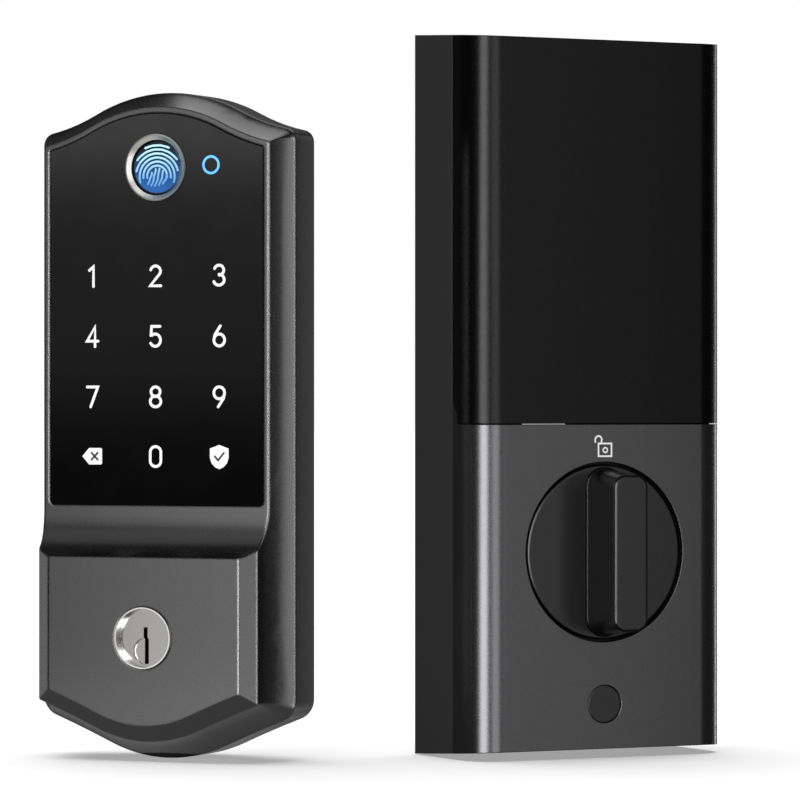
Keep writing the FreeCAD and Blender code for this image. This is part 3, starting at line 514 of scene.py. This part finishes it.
def round_edges(node, radius):
    """Rounds the sharp edges after joining the faces of each flat side."""
    flat = node.modifiers.new("flat_faces", "DECIMATE")
    flat.decimate_type = "DISSOLVE"
    flat.angle_limit = FLAT_ANGLE
    bevel = node.modifiers.new("edges", "BEVEL")
    bevel.width = radius
    bevel.segments = 3
    bevel.limit_method = "ANGLE"
    bevel.angle_limit = EDGE_ANGLE
    bevel.use_clamp_overlap = True
    bevel.harden_normals = False


def dress_nodes():
    """Gives each CAD node its material, smooth shading and rounded edges."""
    for name, node in NODES.items():
        mesh = node.data
        mesh.materials.clear()
        mesh.materials.append(NODE_FINISH[name])
        if "custom_normal" in mesh.attributes:
            mesh.attributes.remove(mesh.attributes["custom_normal"])
        mesh.polygons.foreach_set("use_smooth", [True] * len(mesh.polygons))
        weld = node.modifiers.new("weld", "WELD")
        weld.merge_threshold = WELD_REACH
        if name in EDGE_ROUNDS:
            round_edges(node, EDGE_ROUNDS[name] * MM)
        weighted = node.modifiers.new("normals", "WEIGHTED_NORMAL")
        weighted.keep_sharp = False
        weighted.weight = FACE_WEIGHT


# ---------------------------------------------------------------- keypad legends

DIGIT_HIGH = 5.75
DIGIT_WIDE = 3.4
DIGIT_STROKE = 0.72
MARK_STROKE = 0.5
COLUMNS = (-17.8, 0.0, 17.8)
ROWS = (122.4, 107.1, 91.8, 76.7)


def digit_strokes(digit):
    """Centre lines of a digit in a box from -1 to 1 across and up."""
    half = DIGIT_WIDE / DIGIT_HIGH

    def bow(cx, cz, rx, rz, start, end, steps=18):
        return arc_points(cx, cz, rx, rz, start, end, steps)

    shapes = {
        "0": [(bow(0, 0.45, half, 0.55, 0, 180) + bow(0, -0.45, half, 0.55, 180, 360), True)],
        "1": [([(-0.36, 0.62), (0.1, 1.0), (0.1, -1.0)], False)],
        "2": [(bow(0, 0.47, half * 0.93, 0.53, 165, -28) + [(-half, -1.0), (half, -1.0)], False)],
        "3": [(bow(-0.02, 0.5, half * 0.88, 0.5, 160, -88), False),
              (bow(-0.04, -0.46, half, 0.54, 88, -160), False)],
        "4": [([(0.28, -1.0), (0.28, 1.0), (-0.62, -0.45), (0.62, -0.45)], False)],
        "5": [([(half * 0.85, 1.0), (-half * 0.75, 1.0), (-half * 0.85, 0.12)]
               + bow(-0.04, -0.38, half, 0.62, 128, -150), False)],
        "6": [(bow(0, -0.4, half, 0.6, 0, 360, 30)[:-1], True),
              ([(-half, -0.4), (-half * 0.8, 0.15), (0.12, 1.0)], False)],
        "7": [([(-half, 1.0), (half, 1.0), (-half * 0.35, -1.0)], False)],
        "8": [(bow(0, 0.52, half * 0.86, 0.48, 0, 360, 28)[:-1], True),
              (bow(0, -0.46, half, 0.54, 0, 360, 30)[:-1], True)],
        "9": [(bow(0, 0.4, half, 0.6, 0, 360, 30)[:-1], True),
              ([(half, 0.4), (half * 0.8, -0.15), (-0.12, -1.0)], False)],
    }
    return shapes[digit]


def draw_digit(printer, digit, x, z):
    """Prints a digit centred on a point."""
    half = (DIGIT_HIGH - DIGIT_STROKE) / 2
    for points, closed in digit_strokes(digit):
        printer.stroke([(x + px * half, z + pz * half) for px, pz in points], DIGIT_STROKE, closed)


def back_arrow(x, z):
    """Filled backspace key: a tag with its point to the left."""
    return [(x - 2.9, z), (x - 1.0, z - 2.1), (x + 2.4, z - 2.1), (x + 2.7, z - 1.8),
            (x + 2.7, z + 1.8), (x + 2.4, z + 2.1), (x - 1.0, z + 2.1)]


def shield(x, z):
    """Filled shield, round at the foot."""
    left = [(x - 2.6, z + 2.1), (x - 2.6, z - 0.2)]
    foot = [(x - 2.2, z - 1.5), (x - 1.2, z - 2.6), (x, z - 3.1),
            (x + 1.2, z - 2.6), (x + 2.2, z - 1.5)]
    return left + foot + [(x + 2.6, z - 0.2), (x + 2.6, z + 2.1), (x, z + 3.0)]


def add_legends():
    """Lit digits and symbols on the glass, and the dark marks within the symbols."""
    low, _ = local_box("keypad_panel", KEYPAD)
    level = -low.y
    white = Print(KEYPAD, level)
    for row, digits in zip(ROWS, ("123", "456", "789")):
        for x, digit in zip(COLUMNS, digits):
            draw_digit(white, digit, x, row)
    draw_digit(white, "0", COLUMNS[1], ROWS[3])
    white.patch(back_arrow(COLUMNS[0], ROWS[3]))
    white.patch(shield(COLUMNS[2], ROWS[3]))
    piece = white.build("keypad_legends", "exterior_unit")
    piece.data.materials.append(GLOWING_WHITE_PRINT)

    dark = Print(KEYPAD, level + PRINT_THICK)
    x, z = COLUMNS[0] + 0.6, ROWS[3]
    arm = 0.85
    dark.stroke([(x - arm, z - arm), (x + arm, z + arm)], MARK_STROKE)
    dark.stroke([(x - arm, z + arm), (x + arm, z - arm)], MARK_STROKE)
    x, z = COLUMNS[2], ROWS[3]
    dark.stroke([(x - 1.2, z + 0.1), (x - 0.3, z - 0.9), (x + 1.3, z + 1.0)], MARK_STROKE)
    marks = dark.build("legend_marks", "exterior_unit")
    marks.data.materials.append(DARK_PRINT)


# ---------------------------------------------------------------- fingerprint reader and status light

READER_WINDOW_R = 6.4
RIDGE_PITCH = 1.06
RIDGE_WIDE = 0.52
ARCHES = 6
FIRST_ARCH_R = 2.8
ARCH_WOBBLE = 0.02
STALKS = 5
STALK_STEPS = 12
STALK_LEAN = 1.15
STALK_WOBBLE = 0.09
WINDOW_THICK = 0.04
RIDGE_THICK = 0.05


def add_reader_ring():
    """Satin ring with a sloping inner face, in place of the CAD ring."""
    low, high = local_box("fingerprint_ring", KEYPAD)
    cx, cz = (low.x + high.x) / 2, (low.z + high.z) / 2
    outer = (high.x - low.x) / 2
    front, back = -low.y, -high.y
    inner = outer - 1.5
    profile = [(inner, back), (inner, front - 0.85), (outer - 0.65, front - 0.1), (outer - 0.55, front)]
    profile += [(outer - 0.2, front), (outer - 0.06, front - 0.06), (outer, front - 0.2), (outer, back)]
    ring = lathe("reader_ring", profile, cx, cz, KEYPAD, "exterior_unit")
    ring.data.materials.append(RING_SATIN)
    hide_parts("fingerprint_ring")
    return ring


def add_arches(ridges, cx, cz, core_z):
    """Ridges that arch over the core, cut off at the window's edge."""
    reach = READER_WINDOW_R - 0.15 - RIDGE_WIDE / 2
    for ring in range(ARCHES):
        radius = FIRST_ARCH_R + RIDGE_PITCH * ring
        drop = 30 if ring > 1 else 6
        line = [(px, pz + ARCH_WOBBLE * math.sin(3 * px + ring)) for px, pz in
                arc_points(cx, core_z, radius, radius * 0.97, -drop, 180 + drop, 60)]
        inside = [point for point in line if math.dist(point, (cx, cz)) < reach]
        ridges.stroke(inside, RIDGE_WIDE)


def add_stalks(ridges, cx, cz, core_z):
    """Slanting ridges that run down from the core."""
    for i in range(STALKS):
        top_x = cx - 1.75 + RIDGE_PITCH * i
        top_z = core_z + math.sqrt(max(0.1, 2.0 ** 2 - (top_x - cx) ** 2))
        low_z = cz - 4.6 + 0.12 * abs(i - 2) ** 2
        line = []
        for k in range(STALK_STEPS + 1):
            t = k / STALK_STEPS
            across = 0.25 - STALK_LEAN * t ** 1.6 + STALK_WOBBLE * math.sin(9 * t + i)
            line.append((top_x + across, top_z + (low_z - top_z) * t))
        ridges.stroke(line, RIDGE_WIDE * 0.9)


def add_fingerprint():
    """Lit window with ridges: arches above, slanting lines below."""
    low, high = local_box("fingerprint_sensor", KEYPAD)
    cx, cz = (low.x + high.x) / 2, (low.z + high.z) / 2
    level = -low.y
    window = Print(KEYPAD, level, WINDOW_THICK)
    window.patch(arc_points(cx, cz, READER_WINDOW_R, READER_WINDOW_R, 0, 360, 96)[:-1])
    pad = window.build("reader_window", "exterior_unit")
    glow = lit("pad_glow", (0.016, 0.080, 0.26), (0.001, 0.008, 0.013),
               (cz - 5.5) * MM, (cz + 5) * MM, 0.5)
    pad.data.materials.append(glow)

    ridges = Print(KEYPAD, level + WINDOW_THICK, RIDGE_THICK)
    core_z = cz - 2.2
    add_arches(ridges, cx, cz, core_z)
    add_stalks(ridges, cx, cz, core_z)
    piece = ridges.build("fingerprint_ridges", "exterior_unit")
    glow = lit("ridge_glow", (0.06, 0.19, 0.42), (0.33, 0.55, 0.64),
               (cz - 5) * MM, (cz + 5) * MM, 0.75)
    piece.data.materials.append(glow)


def add_status_ring():
    """Lit ring on the glass over the light pipe."""
    low, high = local_box("status_light_pipe", KEYPAD)
    cx, cz = (low.x + high.x) / 2, (low.z + high.z) / 2
    outer = (high.x - low.x) / 2
    panel_low, _ = local_box("keypad_panel", KEYPAD)
    ring = Print(KEYPAD, -panel_low.y)
    width = 0.6
    radius = outer - width / 2
    ring.stroke(arc_points(cx, cz, radius, radius, 0, 360, 48)[:-1], width, True)
    piece = ring.build("status_ring", "exterior_unit")
    glow = lit("status_glow", (0.08, 0.32, 0.75), (0.10, 0.36, 0.80),
               (cz - 3) * MM, (cz + 3) * MM, 0.9)
    piece.data.materials.append(glow)


# ---------------------------------------------------------------- thumb turn

GRIP_CORNER = 4.7
GRIP_FILLET = 0.5
FILLET_STEPS = 6
CORNER_STEPS = 12
FILLET_ROOT = 0.2


def add_grip_fillet():
    """Small hollow fillet where the grip rises from its disc."""
    low, high = local_box("thumb_turn_grip", INNER)
    disc_low, _ = local_box("thumb_turn_disc", INNER)
    level = -disc_low.y - 0.01
    cx, cz = (low.x + high.x) / 2, (low.z + high.z) / 2
    across, up = (high.x - low.x) / 2 - GRIP_CORNER, (high.z - low.z) / 2 - GRIP_CORNER
    profile = [(GRIP_FILLET * (1 - math.sin(a)), GRIP_FILLET * (1 - math.cos(a)))
               for a in [math.pi / 2 * k / FILLET_STEPS for k in range(FILLET_STEPS + 1)]]
    profile.append((-FILLET_ROOT, GRIP_FILLET))
    profile.append((-FILLET_ROOT, 0))
    corners = ((across, up, 0), (-across, up, 90), (-across, -up, 180), (across, -up, 270))
    verts = []
    for x, z, start in corners:
        for k in range(CORNER_STEPS + 1):
            angle = math.radians(start + 90 * k / CORNER_STEPS)
            for out, rise in profile:
                reach = GRIP_CORNER + out
                verts.append((cx + x + math.cos(angle) * reach, -level - rise,
                              cz + z + math.sin(angle) * reach))
    faces = loop_faces(len(verts) // len(profile), len(profile))
    fillet = mesh_object("grip_fillet", verts, faces, INNER, "thumb_turn")
    fillet.data.materials.append(TURN_PLASTIC)


# ---------------------------------------------------------------- padlock mark on the faceplate

def add_padlock_mark():
    """Outline of an open padlock over the thumb turn, printed white with a painted glow."""
    low, _ = local_box("faceplate", INNER)
    mark = Print(INNER, -low.y)
    x, z = 0.0, TURN_Z + 26.3
    half, width, eye = 1.9, 0.42, 0.62
    top = z + half * 0.7
    body = [(x - half, z - half), (x + half, z - half), (x + half, top), (x - half, top)]
    mark.stroke(body, width, True)
    mark.stroke(arc_points(x + 0.1, z - 0.35, eye, eye, 0, 360, 20)[:-1], 0.36, True)
    bow = arc_points(x - 1.9, z + 2.3, 0.95, 0.95, 0, 180, 12)
    mark.stroke([(x - 1.1, top)] + bow + [(x - 2.85, z + 1.7)], width)
    piece = mark.build("padlock_mark", "interior_unit")
    # Painted glow: the mark takes the glowing white of the keypad legends, though no lamp lies behind the
    # faceplate.
    piece.data.materials.append(GLOWING_WHITE_PRINT)


# ---------------------------------------------------------------- stage and light

def add_floor():
    """White floor that runs on past the picture; it isn't mirrored in the object."""
    mesh = bpy.data.meshes.new("floor")
    size = 12.0
    corners = [(-size, -size, 0), (size, -size, 0), (size, size, 0), (-size, size, 0)]
    mesh.from_pydata(corners, [], [(0, 1, 2, 3)])
    floor = bpy.data.objects.new("floor", mesh)
    bpy.context.scene.collection.objects.link(floor)
    floor.location.z = cad_box[0][2] - 0.0001
    floor.visible_glossy = floor.visible_diffuse = False
    finish = Finish("floor_white")
    finish.mottled((0.80, 0.80, 0.80), 0.01, 4.0)
    finish.set(Roughness=0.9, Specular_IOR_Level=0.0)
    finish.set(Emission_Color=(1, 1, 1, 1), Emission_Strength=0.35)
    mesh.materials.append(finish.material)
    floor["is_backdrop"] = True
    return floor


def unit_centre(unit, height):
    """Middle of a unit at a height above the floor."""
    return unit @ Vector((0, -15, height))


# Soft boxes: name, azimuth, elevation, distance, (width, height), radiance.
GLASS_LIGHTS = (
    ("panel_main", -49, 19.5, 0.9, (0.5, 0.4), 0.85),
    ("panel_lower", -49, 4.5, 0.9, (0.5, 0.13), 0.2),
)
RING_LIGHTS = (
    ("ring_left", -49, 5, 0.9, (0.3, 0.8), 0.6),
    ("ring_right", 30, 5, 0.6, (0.5, 0.9), 1.6),
    ("ring_top", -20, 60, 0.6, (0.6, 0.4), 1.3),
    ("ring_below", -30, -55, 0.08, (0.2, 0.1), 0.6),
)
KEYPAD_LIGHTS = (
    ("keypad_main", -36, 7, 0.8, (0.45, 0.9), 1.0),
    ("keypad_upper", -55, 52, 0.7, (0.5, 0.35), 0.3),
    ("keypad_front", -14, 0, 0.6, (0.16, 0.7), 11.0),
    ("keypad_band", 22, 0, 0.6, (0.24, 0.7), 0.9),
    ("keypad_right", 48, 0, 0.6, (0.11, 0.7), 7.0),
    ("keypad_side", 68, 0, 0.6, (0.14, 0.7), 1.4),
    ("keypad_edge", 132, 0, 0.7, (0.4, 0.7), 0.2),
    ("keypad_rim", -125, 5, 0.6, (0.20, 0.6), 0.8),
    ("keypad_crest", 150, 57, 0.6, (0.5, 0.4), 1.1),
)
KEYPAD_UNDER_LIGHTS = (("keypad_under", -20, -80, 0.02, (0.20, 0.16), 0.2),)
INNER_LIGHTS = (
    ("inner_main", -24, 3, 0.8, (0.34, 1.0), 3.6),
    ("inner_soft", 13, 3, 0.8, (0.34, 1.0), 1.2),
    ("inner_fill", 46, 3, 0.5, (0.26, 0.9), 0.36),
)
SHELL_LIGHTS = (("inner_rim", 137, 3, 0.6, (0.1, 0.6), 2.0),)


def receivers(name, objects):
    """Objects that one set of lights shines on."""
    collection = bpy.data.collections.new(name)
    for item in objects:
        collection.objects.link(item)
    return collection


def add_softbox(name, target, azimuth, elevation, distance, size, radiance, lit):
    """Soft rectangular light aimed at a point; azimuth 0 is beside the camera, minus is left."""
    data = bpy.data.lights.new(name, "AREA")
    data.shape = "RECTANGLE"
    data.size, data.size_y = size
    data.energy = radiance * 4 * size[0] * size[1]
    light = bpy.data.objects.new(name, data)
    bpy.context.scene.collection.objects.link(light)
    turn, lift = math.radians(azimuth), math.radians(elevation)
    away = Vector((math.sin(turn) * math.cos(lift), -math.cos(turn) * math.cos(lift), math.sin(lift)))
    light.location = target + away * distance
    light.rotation_euler = away.to_track_quat("Z", "Y").to_euler()
    light.light_linking.receiver_collection = lit
    light.visible_camera = False


def add_softboxes(lights, target, lit):
    for name, azimuth, elevation, distance, size, radiance in lights:
        add_softbox(name, target, azimuth, elevation, distance, size, radiance, lit)


def add_floor_light(lit):
    """Very soft light from above that leaves a faint shadow on the floor."""
    data = bpy.data.lights.new("floor_light", "SUN")
    data.angle = math.radians(75)
    data.energy = 3.1
    light = bpy.data.objects.new("floor_light", data)
    bpy.context.scene.collection.objects.link(light)
    light.rotation_euler = (math.radians(-14), math.radians(-6), 0)
    light.light_linking.receiver_collection = lit


def add_world():
    """White behind the object for the camera, and a dim studio around it."""
    world = bpy.data.worlds.new("studio")
    world.use_nodes = True
    tree = world.node_tree
    tree.nodes.clear()
    shown = tree.nodes.new("ShaderNodeBackground")
    shown.inputs["Color"].default_value = (1, 1, 1, 1)
    around = tree.nodes.new("ShaderNodeBackground")
    around.inputs["Color"].default_value = (0.05, 0.05, 0.051, 1)
    path = tree.nodes.new("ShaderNodeLightPath")
    mix = tree.nodes.new("ShaderNodeMixShader")
    out = tree.nodes.new("ShaderNodeOutputWorld")
    tree.links.new(path.outputs["Is Camera Ray"], mix.inputs["Fac"])
    tree.links.new(around.outputs["Background"], mix.inputs[1])
    tree.links.new(shown.outputs["Background"], mix.inputs[2])
    tree.links.new(mix.outputs["Shader"], out.inputs["Surface"])
    bpy.context.scene.world = world


def add_lights(floor, reader_ring):
    """Each unit has its own soft boxes, as the two stand at different angles to the camera."""
    keypad_bodies = {"exterior_unit", "key_cylinder_plug"}
    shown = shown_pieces()
    keypad_side = [piece for piece in shown if body_of(piece)[0] in keypad_bodies]
    glass = NODES["keypad_panel"]
    keypad = receivers("keypad_lit", [piece for piece in keypad_side if piece not in (glass, reader_ring)])
    ring = receivers("ring_lit", [reader_ring])
    panel = receivers("panel_lit", [glass])
    inner = receivers("inner_lit", [piece for piece in shown if piece not in keypad_side])
    shell = receivers("shell_lit", [NODES["faceplate"], NODES["battery_cover"], NODES["interior_base"]])
    keypad_centre, inner_centre = unit_centre(KEYPAD, 85), unit_centre(INNER, 90)
    add_softboxes(GLASS_LIGHTS, keypad_centre, panel)
    add_softboxes(RING_LIGHTS, keypad_centre, ring)
    add_softboxes(KEYPAD_LIGHTS, keypad_centre, keypad)
    add_softboxes(KEYPAD_UNDER_LIGHTS, unit_centre(KEYPAD, 22), keypad)
    add_softboxes(INNER_LIGHTS, inner_centre, inner)
    add_softboxes(SHELL_LIGHTS, inner_centre, shell)
    add_floor_light(receivers("floor_lit", [floor]))


bpy.context.scene.view_settings.view_transform = "Standard"
add_camera()
dress_nodes()
add_legends()
reader_ring = add_reader_ring()
add_fingerprint()
add_status_ring()
add_grip_fillet()
add_padlock_mark()
stage_floor = add_floor()
add_world()
add_lights(stage_floor, reader_ring)
